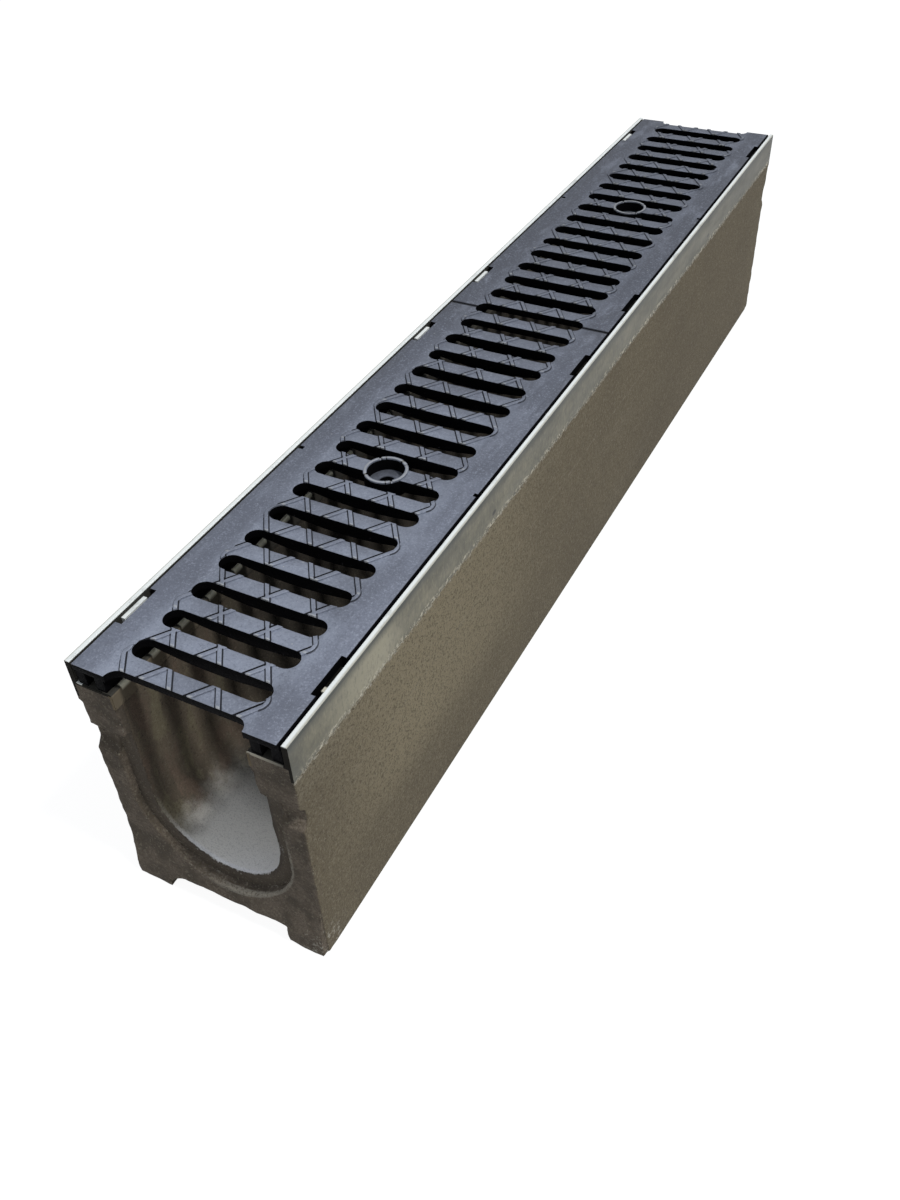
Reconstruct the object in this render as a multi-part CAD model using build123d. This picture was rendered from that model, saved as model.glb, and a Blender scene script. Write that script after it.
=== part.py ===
"""Line drainage channel, one metre long, with steel edge rails and two slotted gratings.

X runs across the channel, Y along it and Z up from the bed that it stands on.  The origin is
the middle of the outer box at bed level.  All sizes are millimetres.
"""

import math
import os

from build123d import *

# Concrete body
length = 1000.0             # laying length, from rail end to rail end
width = 160.0
height = 213.0              # bed to the top of the rails
wall = 30.0                 # the trough between the walls has upright sides over a half-round floor
invert_depth = 171.0        # top of the rails to the lowest line of the trough
foot_width = 30.0           # two runners carry the body
foot_height = 16.5
foot_edge = 1.2             # chamfer along the outer bottom edges

# End joint: a U-shaped rebate at the near end takes the tongue of the next channel's far end
joint_top = 57.0            # top of the rails to the start of the joint
joint_band = 12.0           # width of the rebate around the trough
rebate_depth = 5.5
tongue_depth = 5.0
tongue_clearance = 0.8      # tongue to rebate, all round
flank_groove_depth = 5.0    # grooves across the outer flanges, beside the joint
flank_groove_height = 23.0
flank_groove_slope = 5.0    # height of the upper slope
flank_groove_run_out = 8.0  # height of the lower slope
toe_depth = 5.0             # the near end flares outwards at the foot
toe_height = 14.0
toe_run_out = 34.0

# Edge rails, folded from one strip
sheet = 2.0
leg_height = 31.0           # outer leg, flush with the side of the body
seat_depth = 18.0           # rail top to the seat of the gratings
lip_height = 31.0           # rail top to the lower edge of the inner lip
lip_proud = 0.8             # the lip stands this far into the trough
hem_radius = 0.8            # edges of the hem along the top
lip_radius = 1.9            # outside of the bend from seat to lip
anchor_count = 4
anchor_width = 30.0
anchor_drop = 42.0
anchor_toe = 9.0
anchor_inset = 13.0         # side of the body to the anchor strip
nib_length = 22.0
nib_reach = 3.3             # how far a nib stands out of the rail, towards the grating
nib_depth = 3.0             # rail top to the top of a nib
nib_root = 5.0
nib_nose = 1.5

# Gratings
side_gap = 1.5              # grating to rail, each side
joint_gap = 1.2             # between the two gratings
plate = 5.0                 # thickness of the borders
bar_belly = 5.5             # extra depth of the bars at mid span
end_bar_belly = 1.0         # the same at the first and last bar
slot_count = 16             # whole slots in each grating, with half a slot at each end
slot_width = 16.2
slot_border = 24.5          # edge of a grating to the round ends of its slots
foot_rib = 7.0              # inner rib of the border, on the seat
foot_rib_inset = 3.0        # end of the slots to the inner rib
rim_rib = 7.0               # outer rib of the border
rib_set_back = 1.0          # ribs stop just short of the grating's ends
web = 4.0
web_count = 4               # cross webs between the two ribs, on each side

# Locking: nibs of the rail stand in notches of the grating
notch_from_end = 57.5
notch_length = 34.5
notch_depth = 5.0
nick_length = 3.6           # small nick at mid length
nick_depth = 4.0

# Bolt boss
boss_diameter = 33.0
boss_depth = 14.0
recess_diameter = 28.0
recess_depth = 10.0
bolt_hole = 12.0
ring_notch = 1.6
ring_notch_count = 4

# Raised diamond ribs against slipping, level with the rails
tread_height = 0.9
tread_width = 3.0
diamond_width = 35.0
diamond_length = 50.4
tread_columns = 3           # half diamonds on each side of the middle line
tread_bend = 7.0            # radius of the bends that close the outer diamonds

# Worked-out places
half_width = width / 2
half_length = length / 2
trough_radius = half_width - wall
trough_axis = height - invert_depth + trough_radius
seat = height - seat_depth
shoulder = seat - sheet
joint_z = height - joint_top
upstand = 2 * sheet
rail_inner = half_width - upstand
grating_half_width = rail_inner - side_gap
grating_length = (length - joint_gap) / 2
pitch = grating_length / (slot_count + 1)
plate_top = height - tread_height
plate_bottom = plate_top - plate
slot_reach = grating_half_width - slot_border
bar_end = slot_reach + foot_rib_inset


def box(x0, x1, y0, y1, z0, z1):
    """Block between two corners."""
    return Pos((x0 + x1) / 2, (y0 + y1) / 2, (z0 + z1) / 2) * Box(x1 - x0, y1 - y0, z1 - z0)


def along_y(section, y0, y1):
    """Section in the XZ plane, drawn with Z as its second axis, swept from y0 to y1."""
    return extrude(Plane((0, y0, 0), x_dir=(1, 0, 0), z_dir=(0, -1, 0)) * section, amount=y0 - y1)


def along_x(points, x0, x1):
    """Outline in the YZ plane swept from x0 to x1."""
    outline = make_face(Polyline(*points, close=True))
    return extrude(Plane((x0, 0, 0), x_dir=(0, 1, 0), z_dir=(1, 0, 0)) * outline, amount=x1 - x0)


def rectangle(x0, x1, z0, z1):
    """Rectangle of a section, between two corners."""
    return Pos((x0 + x1) / 2, (z0 + z1) / 2) * Rectangle(x1 - x0, z1 - z0)


def both_sides(solid):
    """The solid and its mirror image across the channel's middle plane."""
    return solid + mirror(solid, Plane.YZ)


def u_shape(radius, top):
    """Half-round floor of the given radius about the trough's axis, with walls up to top."""
    walls = rectangle(-radius, radius, trough_axis, top)
    return walls + (Pos(0, trough_axis) * Circle(radius))


def body_section():
    """Cross-section of the concrete before the rails are let in."""
    block = rectangle(-half_width, half_width, 0, shoulder)
    block = chamfer(block.vertices().group_by(Axis.Y)[0], foot_edge)
    inner = half_width - foot_width
    underside = rectangle(-inner, inner, 0, foot_height)
    return block - u_shape(trough_radius, shoulder) - underside


def flank_grooves(y_end, inward):
    """Grooves across the two outer flanges of the end at y_end."""
    depth = y_end + inward * flank_groove_depth
    outline = [
        (y_end, joint_z),
        (depth, joint_z - flank_groove_slope),
        (depth, joint_z - flank_groove_height + flank_groove_run_out),
        (y_end, joint_z - flank_groove_height),
    ]
    return both_sides(along_x(outline, trough_radius + joint_band, half_width))


def toe():
    """Flare along the foot of the near end, left open between the runners."""
    outline = [
        (-half_length, toe_height + toe_run_out),
        (-half_length - toe_depth, toe_height),
        (-half_length - toe_depth, 0),
        (-half_length, 0),
    ]
    flare = along_x(outline, -half_width + foot_edge, half_width - foot_edge)
    inner = half_width - foot_width
    return flare - box(-inner, inner, -length, 0, 0, foot_height)


def rebate():
    """Room for the tongue of the next channel, cut into the near end and its toe."""
    band = u_shape(trough_radius + joint_band, joint_z)
    return along_y(band, -half_length - toe_depth, -half_length + rebate_depth)


def tongue():
    """U-shaped rim that stands out of the far end."""
    radius = trough_radius + joint_band - tongue_clearance
    rim = u_shape(radius, joint_z - tongue_clearance) - u_shape(trough_radius, shoulder)
    return along_y(rim, half_length, half_length + tongue_depth)


def channel_body(rails):
    """Fibre concrete channel, cast round the legs, lips and anchors of both rails."""
    body = along_y(body_section(), -half_length, half_length)
    body += toe()
    body -= rebate()
    body += tongue()
    body -= flank_grooves(-half_length, 1)
    body -= flank_grooves(half_length, -1)
    for rail in rails:
        body -= rail
    return body


def rail_section():
    """Folded strip: outer leg, hem along the top, seat and inner lip."""
    leg = rectangle(half_width - sheet, half_width, height - leg_height, height)
    hem = rectangle(rail_inner, half_width - sheet, shoulder, height)
    lip_face = trough_radius - lip_proud
    bench = rectangle(lip_face, half_width - sheet, shoulder, seat)
    lip = rectangle(lip_face, lip_face + sheet, height - lip_height, seat)
    section = leg + hem + bench + lip
    section = fillet(section.vertices().group_by(Axis.Y)[-1], min(hem_radius, 0.9 * sheet))
    bend = section.vertices().filter_by(lambda v: v.Y > seat - 0.01).sort_by(Axis.X)[0]
    return fillet(bend, min(lip_radius, 0.95 * sheet))


def anchor(y):
    """Strip under the seat with a bent toe, cast into the wall."""
    outer = half_width - anchor_inset
    low = shoulder - anchor_drop
    strip = rectangle(outer - sheet, outer, low, shoulder)
    strip += rectangle(outer - sheet - anchor_toe, outer - sheet, low, low + sheet)
    return along_y(strip, y - anchor_width / 2, y + anchor_width / 2)


def nib(y):
    """Wedge pressed out of the hem, which stands in a notch of the grating."""
    top = height - nib_depth
    outline = make_face(
        Polyline(
            (rail_inner, top),
            (rail_inner - nib_reach, top),
            (rail_inner - nib_reach, top - nib_nose),
            (rail_inner, top - nib_root),
            close=True,
        )
    )
    return along_y(outline, y - nib_length / 2, y + nib_length / 2)


def grating_centres():
    """Middle of each grating along the channel."""
    offset = (grating_length + joint_gap) / 2
    return {"grating_near": -offset, "grating_far": offset}


def notch_places(centre):
    """The two places along a grating where the rail locks it."""
    reach = grating_length / 2 - notch_from_end
    return [centre - reach, centre + reach]


def edge_rail():
    """Rail of the +X side."""
    rail = along_y(rail_section(), -half_length, half_length)
    step = length / anchor_count
    for index in range(anchor_count):
        rail += anchor(-half_length + step * (index + 0.5))
    for centre in grating_centres().values():
        for place in notch_places(centre):
            rail += nib(place)
    return rail


def slot_field():
    """Round-ended slots of one grating, with half a slot at each end, as one flat shape."""
    first = -(slot_count + 1) / 2 * pitch
    slot = SlotOverall(2 * slot_reach, slot_width)
    return Sketch() + [Pos(0, first + pitch * index) * slot for index in range(slot_count + 2)]


def tread():
    """Diamond ribs of one grating: crossing straight lines, closed by a round bend at each edge."""
    outer = tread_columns * diamond_width / 2
    inner = outer - diamond_width / 2
    slant = math.degrees(math.atan2(diamond_length, diamond_width))
    line_length = 3 * math.hypot(inner, inner * diamond_length / diamond_width)
    count = math.ceil(grating_length / 2 / diamond_length + tread_columns / 2)
    first_bend = (tread_columns - 1) % 2 / 2
    lines = []
    bends = []
    for index in range(-count, count + 1):
        for side in (-1, 1):
            line = Rot(0, 0, side * slant) * Rectangle(line_length, tread_width)
            lines.append(Pos(0, index * diamond_length) * line)
            low = (index + first_bend) * diamond_length
            bend = FilletPolyline(
                (side * inner, low),
                (side * outer, low + diamond_length / 2),
                (side * inner, low + diamond_length),
                radius=tread_bend,
            )
            bends.append(trace(bend, tread_width))
    field = (Sketch() + lines) & Rectangle(2 * inner, grating_length)
    return field + ((Sketch() + bends) & Rectangle(4 * outer, grating_length))


def grating_section():
    """Cross-section at mid length: borders on ribs, and bars with a curved underside."""
    section = rectangle(-grating_half_width, grating_half_width, plate_bottom, plate_top)
    belly = make_face(
        [
            ThreePointArc((-bar_end, plate_bottom), (0, plate_bottom - bar_belly), (bar_end, plate_bottom)),
            Line((bar_end, plate_bottom), (-bar_end, plate_bottom)),
        ]
    )
    return section + belly


def border_ribs():
    """Inner and outer rib of one border with their cross webs, on the seat of the rail."""
    reach = grating_length / 2 - rib_set_back
    rim_inner = grating_half_width - rim_rib
    ribs = box(bar_end, bar_end + foot_rib, -reach, reach, seat, plate_bottom)
    ribs += box(rim_inner, grating_half_width, -reach, reach, seat, plate_bottom)
    step = grating_length / web_count
    for index in range(web_count):
        y = -grating_length / 2 + step * (index + 0.5)
        ribs += box(bar_end + foot_rib, rim_inner, y - web / 2, y + web / 2, seat, plate_bottom)
    return ribs


def edge_cut(y, cut_length, cut_depth):
    """Notch through the outer edge of one border."""
    inner = grating_half_width - cut_depth
    return box(inner, grating_half_width, y - cut_length / 2, y + cut_length / 2, seat, height)


def grating(centre):
    """Cast iron grating, made about its own middle and then set in place."""
    half = grating_length / 2
    iron = along_y(grating_section(), -half, half)
    low = plate_bottom - bar_belly
    shallow = plate_bottom - end_bar_belly
    for side in (-1, 1):
        y0, y1 = sorted((side * half, side * (half - pitch)))
        iron -= box(-bar_end, bar_end, y0, y1, low, shallow)
    iron -= extrude(Pos(0, 0, low) * slot_field(), amount=height - low)
    iron += both_sides(border_ribs())
    iron += extrude(Pos(0, 0, plate_top) * (tread() - slot_field()), amount=tread_height, dir=(0, 0, 1))
    iron += Pos(0, 0, height - boss_depth / 2) * Cylinder(boss_diameter / 2, boss_depth)
    iron -= Pos(0, 0, height - recess_depth / 2) * Cylinder(recess_diameter / 2, recess_depth)
    iron -= Pos(0, 0, height - boss_depth / 2) * Cylinder(bolt_hole / 2, boss_depth)
    ring_middle = (boss_diameter + recess_diameter) / 4
    for index in range(ring_notch_count):
        turn = 360 / ring_notch_count * (index + 0.5)
        place = Rot(0, 0, turn) * Pos(ring_middle, 0, height - tread_height / 2)
        iron -= place * Box(boss_diameter - recess_diameter, ring_notch, tread_height)
    cuts = edge_cut(0, nick_length, nick_depth)
    for place in notch_places(0):
        cuts += edge_cut(place, notch_length, notch_depth)
    iron -= both_sides(cuts)
    return Pos(0, centre, 0) * iron


def main():
    """Write each piece to its own file."""
    os.makedirs("parts", exist_ok=True)
    right = edge_rail()
    left = mirror(right, Plane.YZ)
    pieces = {
        "edge_rail_left": left,
        "edge_rail_right": right,
        "channel_body": channel_body([left, right]),
    }
    for name, centre in grating_centres().items():
        pieces[name] = grating(centre)
    for name, piece in pieces.items():
        export_step(piece, f"parts/{name}.step")


main()
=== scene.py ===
"""Looks of a one-metre concrete drainage channel with zinc-coated rails and iron gratings.

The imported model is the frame.  The concrete and the two gratings are finer copies of their
solids, with worn edges, and the rails keep their solids and get a finish.
"""

import math

import bmesh
import bpy
from mathutils import Euler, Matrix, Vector, noise


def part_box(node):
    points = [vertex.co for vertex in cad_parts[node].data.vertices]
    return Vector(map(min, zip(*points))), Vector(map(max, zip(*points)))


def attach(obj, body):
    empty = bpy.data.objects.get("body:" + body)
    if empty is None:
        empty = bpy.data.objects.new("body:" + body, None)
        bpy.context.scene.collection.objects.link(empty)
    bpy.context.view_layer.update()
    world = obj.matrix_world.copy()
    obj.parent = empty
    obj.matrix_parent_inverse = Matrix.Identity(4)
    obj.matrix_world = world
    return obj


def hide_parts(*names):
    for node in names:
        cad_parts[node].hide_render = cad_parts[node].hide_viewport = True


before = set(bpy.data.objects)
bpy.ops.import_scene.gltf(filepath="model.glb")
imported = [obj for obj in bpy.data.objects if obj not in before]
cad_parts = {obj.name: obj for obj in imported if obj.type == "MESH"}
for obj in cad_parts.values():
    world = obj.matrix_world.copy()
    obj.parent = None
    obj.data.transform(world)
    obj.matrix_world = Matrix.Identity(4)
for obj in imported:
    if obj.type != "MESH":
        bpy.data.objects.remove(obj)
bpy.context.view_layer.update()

bl_info = {
    "name": "Concrete drainage channel",
    "version": (1, 0, 0),
    "blender": (4, 5, 0),
    "location": "3D View > Sidebar > Drainage",
    "description": "Finishes a drainage channel with worn concrete, zinc rails and iron gratings",
    "category": "Object",
}

MM = 0.001
BODY = "channel_body"
RAILS = ("edge_rail_left", "edge_rail_right")
GRATINGS = {"near_grating": "grating_near", "far_grating": "grating_far"}

# Sizes of the part that its finishes follow
SLOTS = 17                      # pitches of the slots in one grating
TROUGH_AXIS = 92 * MM           # height of the axis of the half-round floor
TROUGH_RADIUS = 50 * MM
REBATE_RADIUS = 62 * MM         # outside of the U-shaped rebate at the near end
REBATE_DEPTH = 5.5 * MM
SHEET = 2 * MM                  # thickness of the rails
LEG_HEIGHT = 31 * MM            # top of the rails to the lower edge of their outer leg
SEAT_DEPTH = 18 * MM            # top of the rails to the seat of the gratings
NIB_END = 8.5 * MM              # top of the rails to just below their nibs
TREAD_HEIGHT = 0.9 * MM         # tread, level with the rails, above the plate
RECESS_DEPTH = 10 * MM          # top of the rails to the floor of the bolt's recess

SHARP_ANGLE = 35                # degrees: an edge that bends more stays sharp

# Mesh of the concrete's two ends
WORN_LENGTH = 30 * MM           # finely cut stretch at each end
MIDDLE_CELL = 20 * MM           # length of the cells between them
END_STRIP = 0.1 * MM            # strip that keeps the end faces flat
SOFT_REACH = 12 * MM            # softened before the wear, and a little further after it
CHIPS_PER_METRE = 90
LUMPS_PER_METRE = 110

body_low, body_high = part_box(BODY)
rail_low, rail_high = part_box(RAILS[1])
near_end = rail_low.y
far_end = rail_high.y
rail_top = rail_high.z
half_width = rail_high.x
slot_pitch = (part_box(GRATINGS["near_grating"])[1].y - near_end) / SLOTS


def colour(name, description, default):
    """A colour that a user may change."""
    return bpy.props.FloatVectorProperty(
        name=name, description=description, default=default, size=3, subtype="COLOR", min=0, max=1
    )


def length(name, description, millimetres):
    """A length that a user may change, with its default in millimetres."""
    return bpy.props.FloatProperty(
        name=name, description=description, default=millimetres * MM, unit="LENGTH", precision=5
    )


def share(name, description, default):
    """A plain number from 0 up, such as a roughness or a light's strength."""
    return bpy.props.FloatProperty(
        name=name, description=description, default=default, min=0, subtype="FACTOR"
    )


class ConcreteLook(bpy.types.PropertyGroup):
    """Colours and wear of the concrete."""

    skin: colour("Skin", "Moulded outer face", (0.178, 0.148, 0.092))
    skin_pale: colour("Pale skin", "Lime bloom on the outer face", (0.27, 0.24, 0.17))
    # Also the darker foot, and the painted shade towards the far end.
    skin_dark: colour("Dark skin", "Damp or oily parts of the outer face", (0.112, 0.090, 0.056))
    dry: colour("Dry", "Dry upper part of the outer face", (0.290, 0.246, 0.155))
    end: colour("End", "Rough faces of the two ends", (0.158, 0.127, 0.095))
    # Also the painted shade in the rebate.
    end_dark_and_shade: colour("Dark end", "Hollows of the two ends", (0.071, 0.056, 0.040))
    inside: colour("Inside", "Walls of the trough near its ends", (0.150, 0.118, 0.080))
    # Also the painted shade of the trough's walls further in from the ends.
    inside_dark_and_shade: colour("Dark inside", "Damp walls further in", (0.020, 0.016, 0.011))
    rusty: colour("Rusty", "Reddish streaks on the walls of the trough", (0.150, 0.098, 0.070))
    mossy: colour("Mossy", "Greenish streaks on the walls of the trough", (0.175, 0.155, 0.090))
    laitance: colour("Laitance", "Smooth grey film on the floor of the trough", (0.90, 0.87, 0.79))
    # Pale thick edge of the film, brightened as a painted highlight; also the painted light on the
    # film's right side near the open ends.
    film_edge_highlight: colour("Rim", "Thick edge of the film at the near end", (0.95, 0.94, 0.92))
    spatter: colour("Spatter", "Dried cement milk", (0.50, 0.47, 0.39))
    # Painted shade at the bottom of the air pores; also the darker grains and the painted shadow
    # beside the trough's edge at the ends.
    pore_shade: colour("Pore", "Bottom of an air pore", (0.035, 0.027, 0.018))
    roughness: share("Roughness", "Roughness of the dry concrete", 0.9)
    cell: length("Cell", "Length of the mesh cells at the two ends", 3.0)
    rounding: length("Rounding", "Radius of the arrises", 1.6)
    wear: length("Wear", "Deepest wear of the arrises at the ends", 1.8)
    waviness: length("Waviness", "Unevenness of the rough end faces", 0.6)
    runner: length("Runner", "Width of a runner", 30.0)
    recess: length("Recess", "Height of the recess between the runners, with its rounding", 17.5)
    fill: length("Fill", "Reach of the concrete in the recess's corner", 15.0)
    fill_share: share("Fill share", "Share of the recess's height that it takes", 0.68)


class ZincLook(bpy.types.PropertyGroup):
    """Colours of the rails."""

    zinc: colour("Zinc", "Weathered zinc coat of the outer leg", (0.116, 0.111, 0.078))
    zinc_pale: colour("Pale zinc", "Zinc with cement bloom", (0.290, 0.266, 0.182))
    limed: colour("Limed", "Lime bloom near the near end", (0.37, 0.345, 0.250))
    # Also the painted shade of the leg towards the far end.
    zinc_dark: colour("Dark zinc", "Streaks in the zinc coat", (0.066, 0.066, 0.050))
    # Also painted sunlight on the left nibs and on the end of the left seat.
    crest: colour("Crest", "Rubbed top edge and left nibs", (0.735, 0.755, 0.720))
    # Painted shade below the rolled top edge; also the darker ends of the leg.
    shade: colour("Shade", "Line of dirt below the top edge", (0.050, 0.056, 0.048))
    # Painted highlight where the fold below the slots glints.
    fold: colour("Fold", "Rubbed spots of the fold below the slots", (1.0, 0.95, 0.72))
    dusty: colour("Dusty", "Dust on the inner lip near the ends", (0.150, 0.122, 0.080))
    # Also the painted shade on the lip further in from the ends.
    grime_and_shade: colour("Grime", "Dirt on the inner faces and the cut ends", (0.022, 0.020, 0.015))
    # Also the painted shade on the right nibs.
    cut: colour("Cut", "Cut ends of the strip", (0.014, 0.013, 0.010))
    spatter: colour("Spatter", "Dried cement milk along the lower edge", (0.62, 0.58, 0.46))
    roughness: share("Roughness", "Roughness of the zinc coat", 0.48)
    # Roughness of the painted highlights on the fold.
    fold_roughness: share("Fold roughness", "Roughness of those rubbed spots", 0.24)
    metal: share("Metal", "Metallic share of the clean zinc", 0.35)
    spangle: length("Spangle", "Size of the zinc crystals", 7.0)


class IronLook(bpy.types.PropertyGroup):
    """Colours of the gratings."""

    coat: colour("Coat", "Dip coating of the casting", (0.215, 0.232, 0.280))
    coat_dark: colour("Dark coat", "Thick or dirty parts of the coating", (0.150, 0.160, 0.190))
    far_shade: colour("Aged coat", "Coating towards the far end", (0.095, 0.100, 0.115))
    # Painted shade: the coat turns darker towards the far end, standing in for light that falls off
    # along the channel.
    bar: colour("Bar", "Coating of the bars between the slots", (0.30, 0.325, 0.385))
    # Painted shade: the sides of the slots, the underside, the right edge and the floor of the
    # bolt's recess.
    slot_shade: colour("Deep", "Sides of the slots and the underside", (0.007, 0.007, 0.008))
    # Also the painted highlight on the rounded edges.
    worn: colour("Worn", "Rubbed tops of the tread and edges", (0.42, 0.45, 0.52))
    # Lines beside the tread's ribs, partly soiling and partly painted shadow; also the dark joint
    # between the gratings.
    shadow_and_dirt_line: colour("Groove", "Line of dirt beside each rib", (0.006, 0.006, 0.008))
    # Also the painted highlights at the ends of the ribs.
    dust: colour("Dust", "Grains of cement dust", (0.60, 0.60, 0.56))
    roughness: share("Roughness", "Roughness of the coating", 0.5)
    metal: share("Metal", "Metallic share of the coating", 0.6)
    rounding: length("Rounding", "Radius of the cast edges", 0.4)
    grain: length("Grain", "Size of the sand grain", 1.5)
    diamond_width: length("Diamond width", "Width of the tread's diamonds", 35.0)
    diamond_length: length("Diamond length", "Length of the tread's diamonds", 50.4)
    rib_width: length("Rib width", "Width of the tread's ribs", 3.0)
    bend_centre: length("Bend centre", "Middle line to the centre of the outer bends", 43.98)
    bend_radius: length("Bend radius", "Radius of the outer bends", 7.0)
    recess: length("Recess", "Radius of the recess for the bolt's head", 14.0)


class StageLook(bpy.types.PropertyGroup):
    """Camera, lights and floor."""

    sun: share("Sun", "Strength of the key light", 2.1)
    sun_height: bpy.props.FloatProperty(
        name="Sun height", description="Angle above the floor", default=math.radians(61),
        subtype="ANGLE",
    )
    sun_turn: bpy.props.FloatProperty(
        name="Sun turn", description="Turn of the key light from the right towards the far end",
        default=math.radians(2), subtype="ANGLE",
    )
    sun_spread: bpy.props.FloatProperty(
        name="Sun spread", description="Softness of its shadows", default=math.radians(7),
        subtype="ANGLE",
    )
    zenith: colour("Zenith", "Light from straight above", (0.58, 0.62, 0.70))
    horizon: colour("Horizon", "Light from the sides", (0.24, 0.24, 0.24))
    floor: colour("Floor", "Light that the floor throws back", (0.22, 0.21, 0.20))
    floor_glow: share("Floor glow", "Strength of the floor's white in the camera", 1.06)
    floor_reach: length("Floor reach", "Middle of the floor to its edges", 8000.0)
    floor_shadow: share("Floor shadow", "Share of the floor's white that shadows take away", 0.12)
    lens: bpy.props.FloatProperty(
        name="Lens", description="Focal length on a 36 mm frame, in millimetres", default=32.765,
        min=1,
    )
    place: bpy.props.FloatVectorProperty(
        name="Place", description="Where the camera stands", default=(0.3526, -0.7953, 0.6697),
        subtype="TRANSLATION", unit="LENGTH",
    )
    turn: bpy.props.FloatVectorProperty(
        name="Turn", description="How the camera is turned",
        default=[math.radians(angle) for angle in (47.796, 2.230, 27.238)], subtype="EULER",
    )


class Signal:
    """An output socket of a shader.  Sums written with it add their Math nodes."""

    def __init__(self, tree, socket=None):
        self.tree = tree
        self.socket = socket

    def node(self, kind, settings=None, inputs=None, output=0):
        """Add a node: first its settings, then the values or links of its sockets."""
        made = self.tree.nodes.new(kind)
        for name, value in (settings or {}).items():
            setattr(made, name, value)
        for name, value in (inputs or {}).items():
            if isinstance(value, Signal):
                self.tree.links.new(value.socket, made.inputs[name])
            else:
                made.inputs[name].default_value = value
        return Signal(self.tree, made.outputs[output] if made.outputs else None)

    def math(self, operation, *values):
        return self.node("ShaderNodeMath", {"operation": operation}, dict(enumerate(values)))

    def __add__(self, other):
        return self.math("ADD", self, other)

    def __radd__(self, other):
        return self.math("ADD", other, self)

    def __sub__(self, other):
        return self.math("SUBTRACT", self, other)

    def __rsub__(self, other):
        return self.math("SUBTRACT", other, self)

    def __mul__(self, other):
        return self.math("MULTIPLY", self, other)

    def __rmul__(self, other):
        return self.math("MULTIPLY", other, self)

    def __truediv__(self, other):
        return self.math("DIVIDE", self, other)

    def __abs__(self):
        return self.math("ABSOLUTE", self)

    def round(self):
        return self.math("ROUND", self)

    def root(self):
        return self.math("SQRT", self)

    def at_least(self, other):
        return self.math("MAXIMUM", self, other)

    def at_most(self, other):
        return self.math("MINIMUM", self, other)


def ramp(value, low, high):
    """0 below low, 1 above high and smooth between; falling where low is the larger."""
    settings = {"interpolation_type": "SMOOTHSTEP"}
    inputs = {"Value": value, "From Min": low, "From Max": high}
    return value.node("ShaderNodeMapRange", settings, inputs)


def band(value, low, high, soft):
    """1 between low and high, falling to 0 over the soft width outside."""
    return ramp(value, low - soft, low) * ramp(value, high + soft, high)


def cloud(place, size, detail=3.0, roughness=0.55):
    """Smooth noise about 0.5, with features of the given size in metres."""
    inputs = {"Vector": place, "Scale": 1 / size, "Detail": detail, "Roughness": roughness}
    return place.node("ShaderNodeTexNoise", None, inputs)


def spots(place, size, radius, amount):
    """Round spots in a share of the cells of the given size; radius is a share of a cell."""
    inputs = {"Vector": place, "Scale": 1 / size}
    near = place.node("ShaderNodeTexVoronoi", None, inputs)
    tint = place.node("ShaderNodeTexVoronoi", None, inputs, "Color")
    chance = place.node("ShaderNodeSeparateColor", None, {"Color": tint})
    return ramp(near, radius, radius * 0.6) * ramp(chance, amount, amount * 0.96)


def paint(mask, under, over):
    """The colour over, laid on the colour under where the mask is 1."""
    full = [value if isinstance(value, Signal) else (*value, 1.0) for value in (under, over)]
    return mask.node("ShaderNodeMix", {"data_type": "RGBA"}, {0: mask, 6: full[0], 7: full[1]}, 2)


def start_material(name):
    """A new material: itself, its Object coordinates, and their three axes in metres."""
    made = bpy.data.materials.new(name)
    made.use_nodes = True
    made.node_tree.nodes.clear()
    place = Signal(made.node_tree).node("ShaderNodeTexCoord", output="Object")
    axes = [place.node("ShaderNodeSeparateXYZ", None, {0: place}, axis) for axis in range(3)]
    return made, place, axes


def stretched(place, along=1.0, up=1.0):
    """Coordinates in which a pattern is drawn out along the channel or upwards."""
    settings = {"operation": "MULTIPLY"}
    return place.node("ShaderNodeVectorMath", settings, {0: place, 1: (1.0, 1 / along, 1 / up)})


def finish_material(made, tint, roughness, height, metal=0.0):
    """Close the material with its colour, roughness, bump height in metres and metallic share."""
    start = Signal(made.node_tree)
    normal = start.node("ShaderNodeBump", None, {"Height": height, "Distance": 1.0})
    inputs = {"Base Color": tint, "Roughness": roughness, "Metallic": metal, "Normal": normal}
    surface = start.node("ShaderNodeBsdfPrincipled", None, inputs)
    start.node("ShaderNodeOutputMaterial", None, {"Surface": surface})
    return made


def to_nearer_end(y):
    """Distance along the channel to the nearer end of the rails."""
    return (y - near_end).at_most(far_end - y)


def far_end_shade(y):
    """Painted shade on the concrete and the rails, standing in for light that falls off along the
    channel: 0 near the near end, most at the far end.
    """
    return ramp(y, near_end + 200 * MM, far_end + 100 * MM)


def past_slot(from_first):
    """Distance along the channel past the nearest slot, from the distance past the first one."""
    count = from_first / slot_pitch
    return (count - count.round()) * slot_pitch


def concrete_skin(look, place, y, z, mottle, patch):
    """Colour of the moulded outer faces: dry above, darker towards the foot, and painted shade
    towards the far end.
    """
    drift = cloud(stretched(place, along=5.0), 40 * MM, 3.0)
    tint = paint(ramp(mottle, 0.40, 0.75) * 0.5, look.skin, look.skin_dark)
    tint = paint(ramp(drift, 0.50, 0.80) * 0.35, tint, look.skin_pale)
    dried = ramp(y, near_end, near_end + 120 * MM)
    dried = dried * ramp(y, near_end + 420 * MM, near_end + 170 * MM)
    dried = dried * ramp(z, 35 * MM, 95 * MM) * (0.45 + mottle * 0.7)
    tint = paint(dried, tint, look.dry)
    # darker towards the foot
    tint = paint(ramp(z, 50 * MM, 0.0) * 0.25, tint, look.skin_dark)
    # painted shade towards the far end
    tint = paint(far_end_shade(y) * 0.5, tint, look.skin_dark)
    mould_line = band(z, 128.7 * MM, 130 * MM, 1.2 * MM) * band(y, -420 * MM, 70 * MM, 50 * MM)
    return paint(mould_line * ramp(patch, 0.40, 0.62) * 0.5, tint, look.skin_pale)


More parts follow.
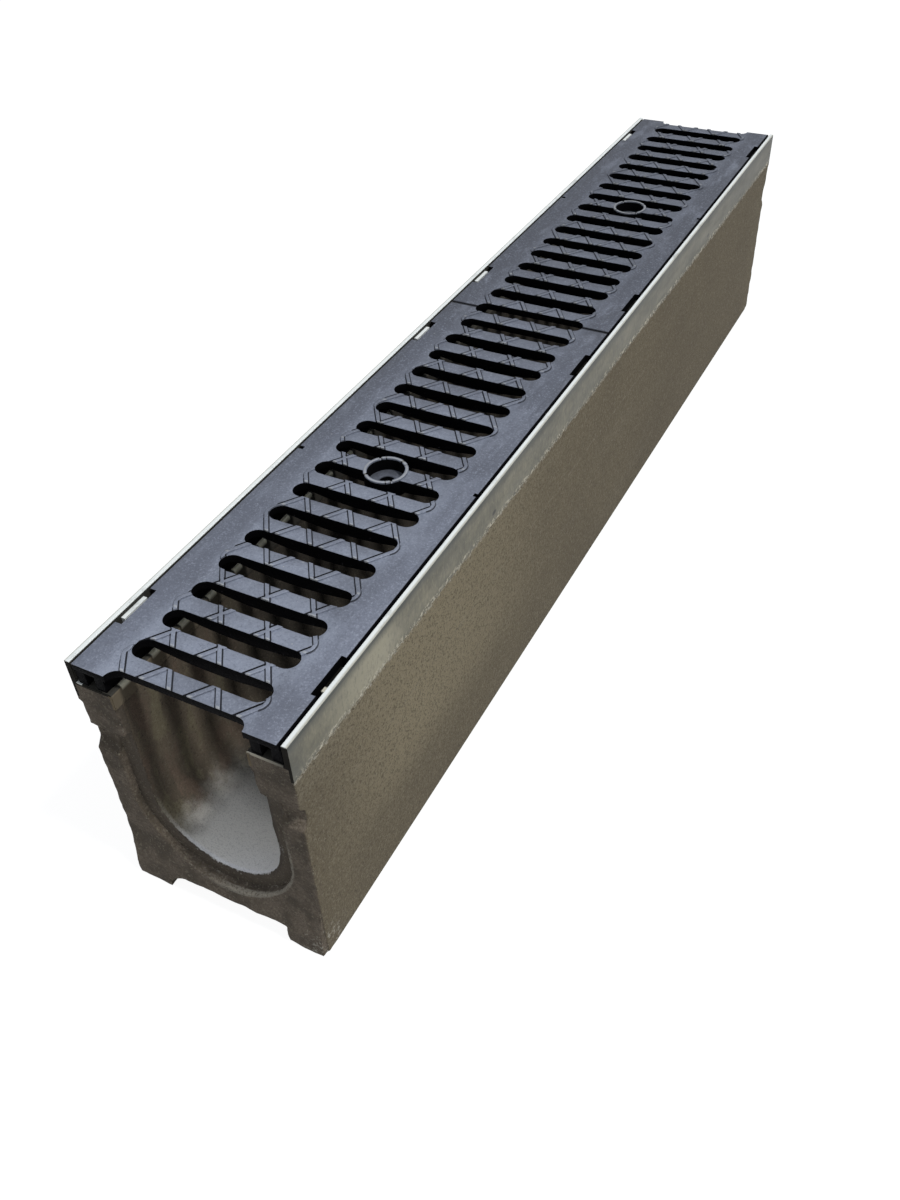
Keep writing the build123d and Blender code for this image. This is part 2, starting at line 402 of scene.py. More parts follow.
def trough_walls(look, place, from_end, mottle):
    """Colour of the trough's walls: streaked near its ends, and turned nearly black further in by
    painted shade.
    """
    streak = cloud(stretched(place, up=3.0), 16 * MM, 3.0, 0.6)
    tint = paint(ramp(mottle, 0.35, 0.65) * 0.6, look.inside, look.inside_dark_and_shade)
    tint = paint(ramp(streak, 0.50, 0.62) * 0.5, tint, look.rusty)
    tint = paint(ramp(streak, 0.46, 0.36) * 0.5, tint, look.mossy)
    # painted shade: the walls darken away from the open ends
    return paint(ramp(from_end, 30 * MM, 170 * MM) * 0.95, tint, look.inside_dark_and_shade)


def end_faces(look, x, y, z, radius, patch, jag):
    """Colour of the rough end faces: painted shade in the rebate, a painted shadow beside the
    trough's edge on the right, and a pale painted highlight along the rebate's outer arris.
    """
    rebate_floor = near_end + REBATE_DEPTH
    tint = paint(ramp(patch, 0.38, 0.66), look.end, look.end_dark_and_shade)
    # painted shade in the recessed rebate
    rebate = band(y, rebate_floor - 2.5 * MM, rebate_floor + 1.5 * MM, 1 * MM)
    rebate = rebate * ramp(radius, REBATE_RADIUS + 0.5 * MM, REBATE_RADIUS - 1 * MM)
    tint = paint(rebate * 0.75, tint, look.end_dark_and_shade)
    # painted shadow: a dark jagged line beside the trough's edge on the right
    edge_shadow = rebate * ramp(radius + jag, TROUGH_RADIUS + 3.2 * MM, TROUGH_RADIUS + 1.6 * MM)
    edge_shadow = edge_shadow * ramp(x, 30 * MM, 46 * MM)
    tint = paint(edge_shadow * 0.75, tint, look.pore_shade)
    # painted highlight on the rounded outer arris of the rebate
    step_highlight = band(radius, REBATE_RADIUS - 0.5 * MM, REBATE_RADIUS + 2 * MM, 1.2 * MM)
    step_highlight = step_highlight * ramp(y, near_end + 2.2 * MM, near_end + 1 * MM)
    step_highlight = step_highlight * ramp(z, 130 * MM, 100 * MM) * ramp(x, -25 * MM, 15 * MM)
    return paint(step_highlight * 0.45, tint, look.spatter)


def concrete_material(look):
    """Olive-brown moulded skin, rough brown ends and a pale film on the floor of the trough."""
    made, place, (x, y, z) = start_material("fibre_concrete")
    from_end = to_nearer_end(y)
    depth = rail_top - z
    drop = (TROUGH_AXIS - z).at_least(0.0)
    radius = (x * x + drop * drop).root()
    trough_floor = TROUGH_AXIS - TROUGH_RADIUS
    rebate_floor = near_end + REBATE_DEPTH
    mottle = cloud(place, 130 * MM, 4.0, 0.6)
    patch = cloud(place, 16 * MM, 3.0)
    sand = cloud(place, 2.4 * MM, 3.0, 0.8)
    grit = cloud(place, 1.2 * MM, 2.0, 0.7)
    jag = (cloud(place, 2.8 * MM, 3.0, 0.7) - 0.5) * (2.2 * MM)
    ragged = (cloud(place, 14 * MM, 3.0, 0.5) - 0.5) * (16 * MM)

    in_trough = ramp(radius, TROUGH_RADIUS + 4.5 * MM, TROUGH_RADIUS + 3 * MM)
    in_trough = in_trough * ramp(z, trough_floor - 6 * MM, trough_floor - 3 * MM)
    rough_end = ramp(y + jag, rebate_floor + 1.3 * MM, rebate_floor + 0.5 * MM)
    rough_end = rough_end.at_least(ramp(y, far_end - 0.8 * MM, far_end - 0.2 * MM))
    rough_end = rough_end * ramp(abs(x), half_width - 0.2 * MM, half_width - 1.2 * MM)
    tint = concrete_skin(look, place, y, z, mottle, patch)
    tint = paint(in_trough, tint, trough_walls(look, place, from_end, mottle))
    tint = paint(rough_end, tint, end_faces(look, x, y, z, radius, patch, jag))

    film = in_trough * ramp(x + ragged, -46 * MM, -22 * MM) * ramp(z, 125 * MM, 90 * MM)
    film = film * (1 - rough_end) * ramp(from_end, 100 * MM, 40 * MM)
    film = film * (1 - ramp(y, 0.0, 200 * MM) * 0.6)
    tint = paint(film * 0.97, tint, look.laitance)
    # painted highlight along the film's edge near each end, and painted light on its right side
    # near the open end
    film_edge_highlight = in_trough * ramp(from_end, 9.8 * MM, 8 * MM) * (1 - rough_end)
    film_edge_highlight = film_edge_highlight * ramp(z, 100 * MM, 60 * MM) * (0.12 + film * 0.6)
    lit_side = ramp(from_end, 40 * MM, 8 * MM) * ramp(x, -20 * MM, 25 * MM)
    tint = paint(film_edge_highlight + lit_side * film * 0.6, tint, look.film_edge_highlight)

    crumbs = ramp(cloud(place, 3.5 * MM, 4.0, 0.75), 0.48, 0.58)
    below_leg = band(depth, LEG_HEIGHT - 0.2 * MM, LEG_HEIGHT + 1.6 * MM, 1.2 * MM) * crumbs
    outside = ramp(abs(x), half_width - 1.5 * MM, half_width - 0.5 * MM)
    tint = paint(below_leg * outside * 0.85, tint, look.spatter)
    worn = place.node("ShaderNodeAttribute", {"attribute_name": "wear"}, None, "Fac")
    worn_grains = ramp(cloud(place, 2.6 * MM, 3.0, 0.7), 0.52, 0.66)
    tint = paint(worn * worn_grains * 0.7, tint, look.spatter)
    foot = ramp(z, 34 * MM, 12 * MM) * ramp(x, 58 * MM, 74 * MM)
    foot = foot * ramp(y, near_end + 30 * MM, near_end)
    foot_grains = ramp(cloud(place, 5 * MM, 3.0, 0.7), 0.52, 0.62)
    tint = paint(foot * foot_grains, tint, look.spatter)

    denser = ramp(from_end, 400 * MM, 20 * MM) * ramp(z, 40 * MM, 120 * MM)
    # painted shade in the air pores
    pin_holes = spots(place, 5 * MM, 0.20, 0.36) * (0.16 + denser * 0.50)
    pores = spots(place, 12 * MM, 0.14, 0.26) * (0.30 + denser * 0.65)
    holes = pin_holes.at_least(pores) * (1 - film * 0.94)
    tint = paint(holes * 0.85, tint, look.pore_shade)
    off_film = 1 - film * 0.6
    sanded = off_film * (1 - in_trough * 0.7)
    tint = paint(ramp(sand, 0.49, 0.64) * sanded * 0.75, tint, look.skin_dark)
    tint = paint(ramp(sand, 0.46, 0.34) * sanded * 0.60, tint, look.skin_pale)
    tint = paint(ramp(grit, 0.50, 0.66) * off_film * 0.35, tint, look.pore_shade)

    lumpy = cloud(place, 9 * MM, 3.0, 0.6) * (1 * MM) * (0.25 + rough_end)
    height = sand * (0.6 * MM) * off_film + grit * (0.16 * MM) + lumpy - holes * (0.6 * MM)
    roughness = look.roughness - film * 0.12
    return finish_material(made, tint, roughness, height)


def zinc_leg(look, place, y, depth, from_end, streak, patch, bloom):
    """Colour of the outer leg: streaked zinc, limed near the near end, with painted shade below the
    crest and towards the far end, and darker over the last 22 mm at each end.
    """
    inputs = {"Vector": place, "Scale": 1 / look.spangle}
    crystal = place.node("ShaderNodeTexVoronoi", None, inputs, "Color")
    crystal = place.node("ShaderNodeSeparateColor", None, {"Color": crystal})
    fleck = cloud(stretched(place, up=2.5), 2.2 * MM, 3.0, 0.75)
    tint = paint(ramp(streak, 0.42, 0.72) * 0.6, look.zinc, look.zinc_dark)
    tint = paint(ramp(patch, 0.44, 0.74) * 0.42, tint, look.zinc_pale)
    tint = paint(ramp(patch, 0.50, 0.26) * 0.45, tint, look.zinc_dark)
    tint = paint(ramp(bloom, 0.50, 0.76) * 0.35, tint, look.zinc_pale)
    past_end = y - near_end + (bloom - 0.5) * (30 * MM)
    limed = ramp(past_end, 15 * MM, 95 * MM) * ramp(past_end, 135 * MM, 103 * MM)
    tint = paint(limed * (0.45 + streak * 0.6), tint, look.limed)
    tint = paint(ramp(fleck, 0.50, 0.68) * 0.40, tint, look.zinc_dark)
    tint = paint(ramp(fleck, 0.48, 0.34) * 0.35, tint, look.zinc_pale)
    tint = paint(ramp(from_end, 22 * MM, 0.0) * 0.55, tint, look.shade)
    tint = paint(crystal * 0.12, tint, look.zinc_pale)
    # painted shade towards the far end
    tint = paint(far_end_shade(y) * 0.65, tint, look.zinc_dark)
    # painted shade under the overhang of the rolled crest
    crest_shade_line = band(depth, 1.2 * MM, 3 * MM, 1 * MM)
    under_crest = crest_shade_line.at_least(ramp(depth, 10.5 * MM, 2.5 * MM) * 0.75)
    return paint(under_crest * (0.65 + 0.6 * streak), tint, look.shade)


def zinc_marks(place, y, z, depth):
    """Mask of the two small marks on each leg, and of pits in the zinc."""
    middle = 13.8 * MM          # midway between the two marks
    half_span = 251.2 * MM      # from there to each of them
    level = 190.4 * MM
    longer = 1.7                # length of a mark over its height
    past_mark = abs(abs(y - middle) - half_span) / longer
    over_mark = z - level
    mark = ramp((past_mark * past_mark + over_mark * over_mark).root(), 2.4 * MM, 1.2 * MM)
    pits = spots(place, 30 * MM, 0.05, 0.30) * band(depth, 8 * MM, 24 * MM, 4 * MM)
    return mark.at_least(pits)


def zinc_material(look):
    """Hot-dip zinc: worn bright on top, with painted sunlight on the left nibs and the seat's end,
    painted highlights on the fold, painted shade on the right nibs and on the lip further in, dull
    and streaked on the leg, dirty inside.
    """
    made, place, (x, y, z) = start_material("galvanised_steel")
    depth = rail_top - z
    from_end = to_nearer_end(y)
    leg_inside = half_width - SHEET - 0.2 * MM
    hem_inside = half_width - 2 * SHEET - 0.2 * MM
    streak = cloud(stretched(place, along=6.0), 10 * MM, 4.0, 0.65)
    patch = cloud(stretched(place, along=1.8), 30 * MM, 3.0, 0.55)
    bloom = cloud(stretched(place, along=1.6), 12 * MM, 4.0, 0.65)

    tint = zinc_leg(look, place, y, depth, from_end, streak, patch, bloom)
    crumbs = ramp(cloud(place, 3.6 * MM, 4.0, 0.75), 0.48, 0.58)
    spatter = ramp(depth, LEG_HEIGHT - 5.4 * MM, LEG_HEIGHT - 2 * MM) * crumbs
    spatter = spatter * (0.40 + 0.80 * ramp(patch, 0.40, 0.52)).at_most(1.0)
    tint = paint(spatter * 0.95, tint, look.spatter)
    tint = paint(zinc_marks(place, y, z, depth) * 0.9, tint, look.grime_and_shade)

    inner = ramp(abs(x), leg_inside, leg_inside - 0.8 * MM) * ramp(depth, 0.3 * MM, 0.9 * MM)
    cut_end = ramp(from_end, 0.5 * MM, 0.2 * MM)
    cut_face = cut_end * ramp(depth, 0.6 * MM, 1.4 * MM)
    dirty = inner.at_least(cut_face)
    tint = paint(dirty * 0.95, tint, look.grime_and_shade)
    tint = paint(cut_face, tint, look.cut)

    # Nibs below the top edge: the left ones get painted sunlight, the right ones painted shade.
    above_nib_end = ramp(depth, NIB_END + 1.5 * MM, NIB_END)
    sunlit_left_nib = ramp(abs(x), hem_inside, hem_inside - 0.4 * MM) * above_nib_end
    sunlit_left_nib = sunlit_left_nib * ramp(x, 10 * MM, -10 * MM)
    # painted shade: the right nibs are near black
    shaded_right_nib = ramp(x, hem_inside, hem_inside - 0.4 * MM) * ramp(x, 0.0, 10 * MM)
    shaded_right_nib = shaded_right_nib * above_nib_end * ramp(depth, 1 * MM, 2 * MM)
    tint = paint(shaded_right_nib, tint, look.cut)
    chip = shaded_right_nib * ramp(y, near_end + 51 * MM, near_end + 50 * MM)
    tint = paint(chip * 0.8, tint, look.spatter)
    seat_cut = cut_end * band(x, 49 * MM, 74.5 * MM, 0.5 * MM)
    seat_cut = seat_cut * band(depth, SEAT_DEPTH - 0.8 * MM, SEAT_DEPTH + 2.6 * MM, 0.3 * MM)
    tint = paint(seat_cut * ramp(x, 85 * MM, 52 * MM) * 0.9, tint, look.spatter)

    # painted highlights: glints on the lip's fold, one below each slot near the ends
    fold = band(abs(x), 48.8 * MM, 52 * MM, 0.3 * MM)
    fold = fold * ramp(depth, SEAT_DEPTH + 4.6 * MM, SEAT_DEPTH + 1 * MM)
    from_slot = abs(past_slot(y - near_end - 13.6 * MM))
    fold_highlights = fold * ramp(from_slot, 4.8 * MM, 3.4 * MM) * ramp(from_end, 420 * MM, 200 * MM)
    # painted light: a bright patch on the end of the left seat, lit from the front
    seat_light_patch = band(x, -76 * MM, -72 * MM, 0.2 * MM)
    seat_light_patch = seat_light_patch * band(depth, SEAT_DEPTH - 0.4 * MM, SEAT_DEPTH + 0.4 * MM, 0.3 * MM)
    seat_light_patch = seat_light_patch * ramp(y, near_end + 11 * MM, near_end + 9 * MM)
    lip = ramp(abs(x), 52.5 * MM, 51.5 * MM)
    lip = lip * ramp(depth, SEAT_DEPTH + 0.6 * MM, SEAT_DEPTH + 1.2 * MM)
    tint = paint(lip, tint, look.dusty)
    # painted shade on the lip further in from the open ends
    tint = paint(lip * ramp(from_end, 30 * MM, 170 * MM) * 0.95, tint, look.grime_and_shade)
    tint = paint(fold_highlights, tint, look.fold)

    crest = ramp(depth, 0.8 * MM, 0.2 * MM)
    # the worn top edge, with painted sunlight on the left nibs and the seat's end
    rubbed_and_sunlit = crest.at_least(sunlit_left_nib).at_least(seat_light_patch)
    scuffed = 1 - ramp(bloom, 0.56, 0.72) * 0.35
    tint = paint(rubbed_and_sunlit * scuffed, tint, look.crest)
    rolled = crest * ramp(abs(x), half_width - 1.8 * MM, half_width - 0.3 * MM)
    tint = paint(rolled * 0.65, tint, look.zinc_pale)

    roughness = look.roughness + (streak - 0.5) * 0.25 + (spatter * 0.3).at_least(dirty * 0.35)
    # the painted highlights are smoother and not metallic
    roughness = roughness * (1 - fold_highlights) + look.fold_roughness * fold_highlights
    height = cloud(place, 4 * MM, 2.0) * (0.12 * MM) + spatter * (0.3 * MM)
    metal = look.metal * (1 - dirty.at_least(spatter).at_least(rubbed_and_sunlit)) * (1 - fold_highlights)
    # the painted shade on the right nibs also gets full metallic
    metal = metal + cut_face.at_least(shaded_right_nib - chip) - seat_cut
    return finish_material(made, tint, roughness, height, metal)


def tread_masks(look, x, y, centre):
    """Masks of the diamond tread: its raised ribs, and lines beside them that are partly soiling
    and partly painted shadow.
    """
    along = (y - centre) / look.diamond_length
    across = x / look.diamond_width
    reach = 1 / math.hypot(1 / look.diamond_length, 1 / look.diamond_width)
    rising = along + across
    falling = along - across
    off_rising = abs(rising - rising.round()) * reach
    off_falling = abs(falling - falling.round()) * reach
    far_side = ramp(falling - falling.round(), 0.0, 0.004)
    past_bend = (along - 0.5 - (along - 0.5).round()) * look.diamond_length
    out_of_bend = abs(x) - look.bend_centre
    off_bend = abs((past_bend * past_bend + out_of_bend * out_of_bend).root() - look.bend_radius)
    straight = ramp(abs(x), 50 * MM, 49.6 * MM)
    bent = (1 - straight) * ramp(abs(x), 53.5 * MM, 53 * MM)

    side = look.rib_width / 2
    soft = 0.2 * MM
    top_edge = side - 0.3 * MM
    rib = ramp(off_rising.at_most(off_falling), top_edge, top_edge - 0.3 * MM) * straight
    rib = rib.at_least(ramp(off_bend, top_edge, top_edge - 0.3 * MM) * bent)
    # Lines beside the ribs: painted shadow on the sides away from the light, soiling on the others.
    dirt_and_shadow = band(off_rising, side - 0.1 * MM, side + 0.6 * MM, soft) * 0.9
    dirt_and_shadow = dirt_and_shadow.at_least(band(off_falling, side, side + 2.1 * MM, soft) * far_side) * straight
    dirt_and_shadow = dirt_and_shadow.at_least(band(off_bend, side - 0.1 * MM, side + 0.4 * MM, soft) * bent * 0.7)
    return rib, dirt_and_shadow * (1 - rib)


def iron_material(look, name, low, high):
    """Dip-coated casting: sandy grain, slots in painted shade, and lines of soiling and painted
    shadow beside the tread's ribs.
    """
    made, place, (x, y, z) = start_material(name)
    centre = (low + high) / 2
    depth = rail_top - z
    on_top = ramp(depth, TREAD_HEIGHT + 0.4 * MM, TREAD_HEIGHT + 0.1 * MM)
    rib, dirt_and_shadow = tread_masks(look, x, y, centre)
    dirt_and_shadow = dirt_and_shadow * on_top * (1 - ramp(y, near_end + 250 * MM, far_end) * 0.55)
    rib = rib * on_top

    grain = cloud(place, look.grain, 3.0, 0.75)
    blotch = cloud(place, 6 * MM, 3.0, 0.6)
    stain = cloud(place, 50 * MM, 4.0, 0.6)
    sweep = cloud(stretched(place, along=3.5), 12 * MM, 4.0, 0.6)
    # painted shade towards the far end
    far_shade = ramp(y, near_end + 20 * MM, near_end + 660 * MM)
    border = ramp(abs(x) + (stain - 0.5) * (20 * MM), 48 * MM, 60 * MM)
    left_border = ramp(x, -20 * MM, -62 * MM) * ramp(y, near_end + 20 * MM, near_end + 110 * MM)
    tint = paint(border, look.bar, look.coat)
    tint = paint(ramp(stain, 0.42, 0.72) * 0.6, tint, look.coat_dark)
    tint = paint(left_border * 0.45, tint, look.coat_dark)
    tint = paint(far_shade * (0.62 + border * 0.24), tint, look.far_shade)
    tint = paint(ramp(blotch, 0.52, 0.74) * 0.35, tint, look.coat_dark)
    tint = paint(ramp(sweep, 0.52, 0.70) * (0.15 + far_shade * 0.12) * border, tint, look.worn)
    tint = paint(ramp(grain, 0.50, 0.70) * 0.50, tint, look.worn)
    tint = paint(ramp(grain, 0.46, 0.32) * 0.60, tint, look.coat_dark)

    # painted highlight on the ends of the ribs at the slots' edges
    rib_end_highlight = rib * band(past_slot(y - low), 7.8 * MM, 9.1 * MM, 0.4 * MM)
    tint = paint(rib_end_highlight * 0.4, tint, look.dust)
    # the rounded edges are lighter: partly rubbed wear, partly a painted highlight
    edge = place.node("ShaderNodeAttribute", {"attribute_name": "edge"}, None, "Fac")
    tint = paint(edge * on_top * 0.18, tint, look.worn)
    # lines of soiling and painted shadow beside the ribs
    tint = paint(dirt_and_shadow, tint, look.shadow_and_dirt_line)
    tint = paint(ramp(abs(y), 2.6 * MM, 1.6 * MM) * 0.9, tint, look.shadow_and_dirt_line)
    dust = spots(place, 9 * MM, 0.07, 0.22) * on_top
    tint = paint(dust * 0.6, tint, look.dust)

    from_bolt = (x * x + (y - centre) * (y - centre)).root()
    ring = band(from_bolt, look.recess + 0.7 * MM, look.recess + 1.9 * MM, 0.3 * MM) * on_top
    tint = paint(ring * 0.45, tint, look.dust)
    # painted shade on the floor of the bolt's recess
    at_floor = band(depth, RECESS_DEPTH - 0.6 * MM, RECESS_DEPTH + 0.6 * MM, 0.4 * MM)
    recess_floor = ramp(from_bolt, look.recess, look.recess - 0.5 * MM) * at_floor
    tint = paint(recess_floor * 0.5, tint, look.slot_shade)
    # painted shade: below the plate and along the right edge the casting is near black
    below = ramp(depth, TREAD_HEIGHT + 0.04 * MM, TREAD_HEIGHT + 0.4 * MM)
    right_side = ramp(x, 72.9 * MM, 73.3 * MM)
    inward = below.at_least(right_side) * (1 - recess_floor)
    tint = paint(inward, tint, look.slot_shade)

    roughness = look.roughness + (grain - 0.5) * 0.30 + dirt_and_shadow.at_least(inward) * 0.40
    height = grain * (0.28 * MM) + blotch * (0.2 * MM)
    # the painted shade also gets full metallic, so that it reflects almost nothing
    metal = look.metal + (1 - look.metal) * inward
    return finish_material(made, tint, roughness, height, metal)


def cad_copy(node):
    """The solid of a node as an editable mesh, with doubles merged and flat faces joined."""
    mesh = bmesh.new()
    mesh.from_mesh(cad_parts[node].data)
    bmesh.ops.remove_doubles(mesh, verts=mesh.verts, dist=1e-6)
    flat = math.radians(0.5)
    bmesh.ops.dissolve_limit(mesh, angle_limit=flat, verts=mesh.verts, edges=mesh.edges)
    return mesh


def round_edges(mesh, edges, radius):
    """Bevel edges in two steps; returns the new faces."""
    made = bmesh.ops.bevel(
        mesh, geom=edges, offset=radius, affect="EDGES", segments=2, profile=0.5,
        clamp_overlap=True, material=-1,
    )
    return made["faces"]


def is_sharp(edge, degrees):
    """Whether the two faces of an edge bend away from each other by more than an angle."""
    return len(edge.link_faces) == 2 and edge.calc_face_angle(0.0) > math.radians(degrees)


def cut_planes(mesh, axis, places, within=None):
    """Cut the mesh across an axis at each place; within limits the cut to some of its faces."""
    normal = Vector((0, 0, 0))
    normal[axis] = 1
    for place in places:
        faces = [face for face in mesh.faces if within is None or within(face)]
        edges = dict.fromkeys(edge for face in faces for edge in face.edges)
        verts = dict.fromkeys(vert for face in faces for vert in face.verts)
        bmesh.ops.bisect_plane(
            mesh, geom=[*verts, *edges, *faces], dist=1e-5, plane_co=normal * place, plane_no=normal
        )


def steps(low, high, size):
    """Places between low and high, about size apart."""
    count = max(1, round((high - low) / size))
    return [low + (high - low) * index / count for index in range(1, count)]


def add_object(name, mesh, material, replaced, least_flat=0.0):
    """Link a finished mesh that rides on the one body.

    It is smooth up to SHARP_ANGLE.  Faces that lie square to an axis are flat where they are
    larger than least_flat, in square metres, so that worn edges don't bend their light.
    """
    mesh.normal_update()
    for face in mesh.faces:
        square = max(abs(part) for part in face.normal) > 0.99995
        face.smooth = not square or face.calc_area() < least_flat
    data = bpy.data.meshes.new(name)
    mesh.to_mesh(data)
    mesh.free()
    data.attributes.remove(data.attributes["custom_normal"])
    data.set_sharp_from_angle(angle=math.radians(SHARP_ANGLE))
    data.materials.append(material)
    made = bpy.data.objects.new(name, data)
    bpy.context.scene.collection.objects.link(made)
    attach(made, "root")
    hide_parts(replaced)


def soften(mesh, reach, top):
    """Smooth the mesh near the two ends, below a height; returns its points."""

    def is_soft(place):
        return min(place.y - body_low.y, body_high.y - place.y) < reach and place.z < top

    soft = [vert for vert in mesh.verts if is_soft(vert.co)]
    axes = {f"use_axis_{axis}": True for axis in "xyz"}
    bmesh.ops.smooth_vert(mesh, verts=soft, factor=0.5, **axes)
    return soft


def crumble(mesh, look, top):
    """Roughen the end faces and wear their arrises, most where a chip has come off."""
    wear_layer = mesh.verts.layers.float.new("wear")
    mesh.normal_update()
    for vert in soften(mesh, SOFT_REACH, top):
        normals = [face.normal for face in vert.link_faces]
        bend = 1 - sum(normals, Vector()).length / len(normals)     # 0 on a flat face
        chips = max(0.0, noise.noise(vert.co * CHIPS_PER_METRE + Vector((3, 7, 1))) + 0.10)
        lumps = noise.fractal(vert.co * LUMPS_PER_METRE, 0.7, 2.0, 3)
        inward = look.waviness * (0.4 + lumps)
        if bend > 0.015:
            inward += look.wear * min(1.0, bend * 6) * (0.1 + 1.8 * chips)
            vert[wear_layer] = min(1.0, chips * 2.5)
        vert.co = vert.co - vert.normal * max(0.0, inward)
    soften(mesh, SOFT_REACH + 2 * MM, top)


def fill_corner(mesh, look):
    """Fill the corner between the left runner and the recess's roof at the near end.

    The roof of the recess comes down along a hollow slope that is steepest at the runner and
    ends look.fill away from it and from the near end.
    """
    wall = look.runner - half_width
    past_wall = 1.04            # takes in the rounded edge along the runner
    hollow = 1.5                # 1 would be a straight slope
    for vert in mesh.verts:
        across = (wall + look.fill - vert.co.x) / look.fill
        along = 1 - (vert.co.y - near_end) / look.fill
        if 0 < across < past_wall and along > 0 and vert.co.z < look.recess:
            vert.co.z *= 1 - look.fill_share * min(1.0, across) ** hollow * min(1.0, along)


class DRAINAGE_OT_concrete(bpy.types.Operator):
    """Make the concrete body with worn ends"""

    bl_idname = "drainage.concrete"
    bl_label = "Concrete body"

    def execute(self, context):
        look = context.scene.concrete_look
        mesh = cad_copy(BODY)
        leg_end = rail_top - LEG_HEIGHT

        def end_arris(edge):
            places = [vert.co for vert in edge.verts]
            reach = REBATE_DEPTH + 0.7 * MM
            at_end = all(min(p.y - near_end, far_end - p.y) < reach for p in places)
            return at_end and all(p.z < leg_end - 2 * MM for p in places) and is_sharp(edge, 25)

        round_edges(mesh, [edge for edge in mesh.edges if end_arris(edge)], look.rounding)
        near_worn = near_end + WORN_LENGTH
        far_worn = far_end - WORN_LENGTH
        cut_planes(mesh, 1, steps(near_worn, far_worn, MIDDLE_CELL))
        for low, high in ((body_low.y, near_worn), (far_worn, body_high.y)):
            cut_planes(mesh, 1, [low + END_STRIP, *steps(low, high, look.cell), high - END_STRIP])

        def in_worn(face):
            middle = face.calc_center_median().y
            return middle < near_worn or middle > far_worn

        cut_planes(mesh, 0, steps(body_low.x, body_high.x, look.cell), in_worn)
        cut_planes(mesh, 2, steps(body_low.z, leg_end, look.cell), in_worn)
        crumble(mesh, look, leg_end - 4 * MM)
        fill_corner(mesh, look)
        material = concrete_material(look)
        add_object("concrete_body", mesh, material, BODY, least_flat=12 * MM**2)
        return {"FINISHED"}


class DRAINAGE_OT_rails(bpy.types.Operator):
    """Give the rails their zinc finish"""

    bl_idname = "drainage.rails"
    bl_label = "Edge rails"

    def execute(self, context):
        material = zinc_material(context.scene.zinc_look)
        for name in RAILS:
            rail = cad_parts[name]
            rail.data.materials.clear()
            rail.data.materials.append(material)
        return {"FINISHED"}


class DRAINAGE_OT_gratings(bpy.types.Operator):
    """Make the two cast gratings with rounded edges"""

    bl_idname = "drainage.gratings"
    bl_label = "Gratings"

    def execute(self, context):
        look = context.scene.iron_look
        for name, node in GRATINGS.items():
            low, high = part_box(node)
            mesh = cad_copy(node)
            edge_layer = mesh.faces.layers.float.new("edge")
            edges = [edge for edge in mesh.edges if is_sharp(edge, SHARP_ANGLE) and edge.is_convex]
            for face in round_edges(mesh, edges, look.rounding):
                face[edge_layer] = 1.0
            material = iron_material(look, f"{name}_iron", low.y, high.y)
            add_object(name, mesh, material, node)
        return {"FINISHED"}


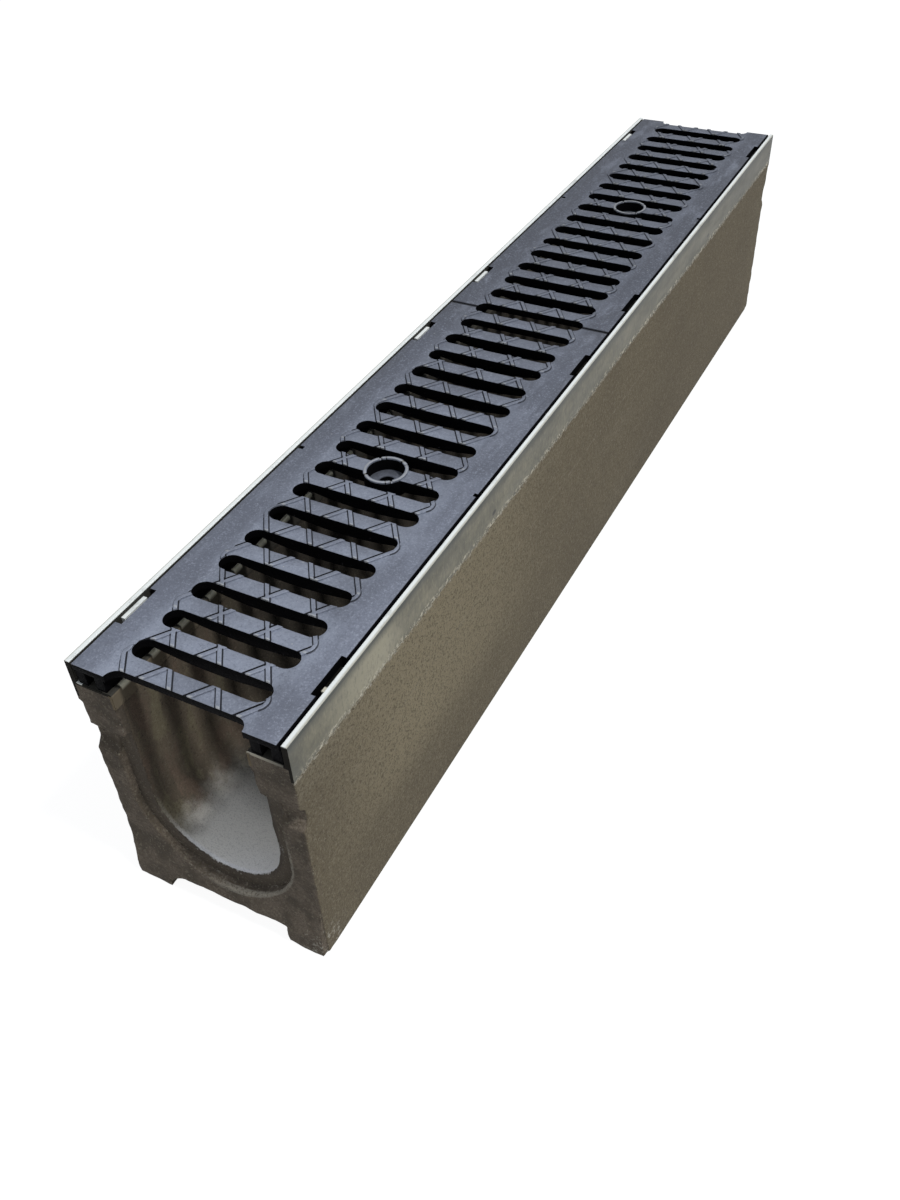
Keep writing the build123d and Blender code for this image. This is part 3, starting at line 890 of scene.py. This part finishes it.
class DRAINAGE_OT_stage(bpy.types.Operator):
    """Set up the floor, the lights and the camera"""

    bl_idname = "drainage.stage"
    bl_label = "Stage"

    def execute(self, context):
        look = context.scene.stage_look
        self.make_floor(look)
        self.make_lights(look)
        self.make_camera(look)
        context.scene.view_settings.view_transform = "Standard"
        return {"FINISHED"}

    def make_floor(self, look):
        mesh = bmesh.new()
        bmesh.ops.create_grid(mesh, x_segments=1, y_segments=1, size=look.floor_reach)
        data = bpy.data.meshes.new("floor")
        mesh.to_mesh(data)
        mesh.free()
        floor = bpy.data.objects.new("floor", data)
        bpy.context.scene.collection.objects.link(floor)
        made = bpy.data.materials.new("pale_floor")
        made.use_nodes = True
        made.node_tree.nodes.clear()
        start = Signal(made.node_tree)
        seen = start.node("ShaderNodeLightPath", output="Is Camera Ray")
        seen = seen.at_least(start.node("ShaderNodeLightPath", output="Is Glossy Ray"))
        matt = start.node("ShaderNodeBsdfDiffuse", None, {"Color": (*look.floor, 1)})
        white = start.node("ShaderNodeBsdfDiffuse", None, {"Color": (1, 1, 1, 1)})
        glow = start.node("ShaderNodeEmission", None, {"Strength": look.floor_glow})
        pale = start.node("ShaderNodeMixShader", None, {0: look.floor_shadow, 1: glow, 2: white})
        surface = start.node("ShaderNodeMixShader", None, {0: seen, 1: matt, 2: pale})
        start.node("ShaderNodeOutputMaterial", None, {"Surface": surface})
        data.materials.append(made)

    def make_lights(self, look):
        lamp = bpy.data.lights.new("key_light", "SUN")
        lamp.energy = look.sun
        lamp.angle = look.sun_spread
        key = bpy.data.objects.new("key_light", lamp)
        key.rotation_euler = Euler((0, math.radians(90) - look.sun_height, look.sun_turn))
        bpy.context.scene.collection.objects.link(key)
        world = bpy.data.worlds.new("studio")
        bpy.context.scene.world = world
        world.use_nodes = True
        world.node_tree.nodes.clear()
        start = Signal(world.node_tree)
        way = start.node("ShaderNodeTexCoord", output="Generated")
        height = start.node("ShaderNodeSeparateXYZ", None, {0: way}, 2)
        seen = start.node("ShaderNodeLightPath", output="Is Camera Ray")
        sky = paint(ramp(height, 0.0, 0.9), look.horizon, look.zenith)
        tint = paint(seen, sky, (1, 1, 1))
        background = start.node("ShaderNodeBackground", None, {"Color": tint})
        start.node("ShaderNodeOutputWorld", None, {"Surface": background})

    def make_camera(self, look):
        data = bpy.data.cameras.new("view")
        data.lens = look.lens
        data.sensor_width = 36
        camera = bpy.data.objects.new("view", data)
        camera.location = look.place
        camera.rotation_euler = Euler(look.turn)
        bpy.context.scene.collection.objects.link(camera)
        bpy.context.scene.camera = camera


class DRAINAGE_PT_panel(bpy.types.Panel):
    """Lists the pieces of the channel and their looks"""

    bl_label = "Drainage channel"
    bl_idname = "DRAINAGE_PT_panel"
    bl_space_type = "VIEW_3D"
    bl_region_type = "UI"
    bl_category = "Drainage"

    def draw(self, context):
        for operator, group in PANEL_ROWS:
            column = self.layout.box().column()
            column.operator(operator)
            looks = getattr(context.scene, group)
            for name in looks.__annotations__:
                column.prop(looks, name)


GROUPS = {
    "concrete_look": ConcreteLook,
    "zinc_look": ZincLook,
    "iron_look": IronLook,
    "stage_look": StageLook,
}
PANEL_ROWS = (
    ("drainage.stage", "stage_look"),
    ("drainage.concrete", "concrete_look"),
    ("drainage.rails", "zinc_look"),
    ("drainage.gratings", "iron_look"),
)
CLASSES = (
    *GROUPS.values(),
    DRAINAGE_OT_stage,
    DRAINAGE_OT_concrete,
    DRAINAGE_OT_rails,
    DRAINAGE_OT_gratings,
    DRAINAGE_PT_panel,
)


def register():
    for made in CLASSES:
        bpy.utils.register_class(made)
    for name, group in GROUPS.items():
        setattr(bpy.types.Scene, name, bpy.props.PointerProperty(type=group))


def unregister():
    for name in GROUPS:
        delattr(bpy.types.Scene, name)
    for made in reversed(CLASSES):
        bpy.utils.unregister_class(made)


def main():
    register()
    bpy.ops.drainage.stage()
    bpy.ops.drainage.concrete()
    bpy.ops.drainage.rails()
    bpy.ops.drainage.gratings()


if __name__ == "__main__":
    main()
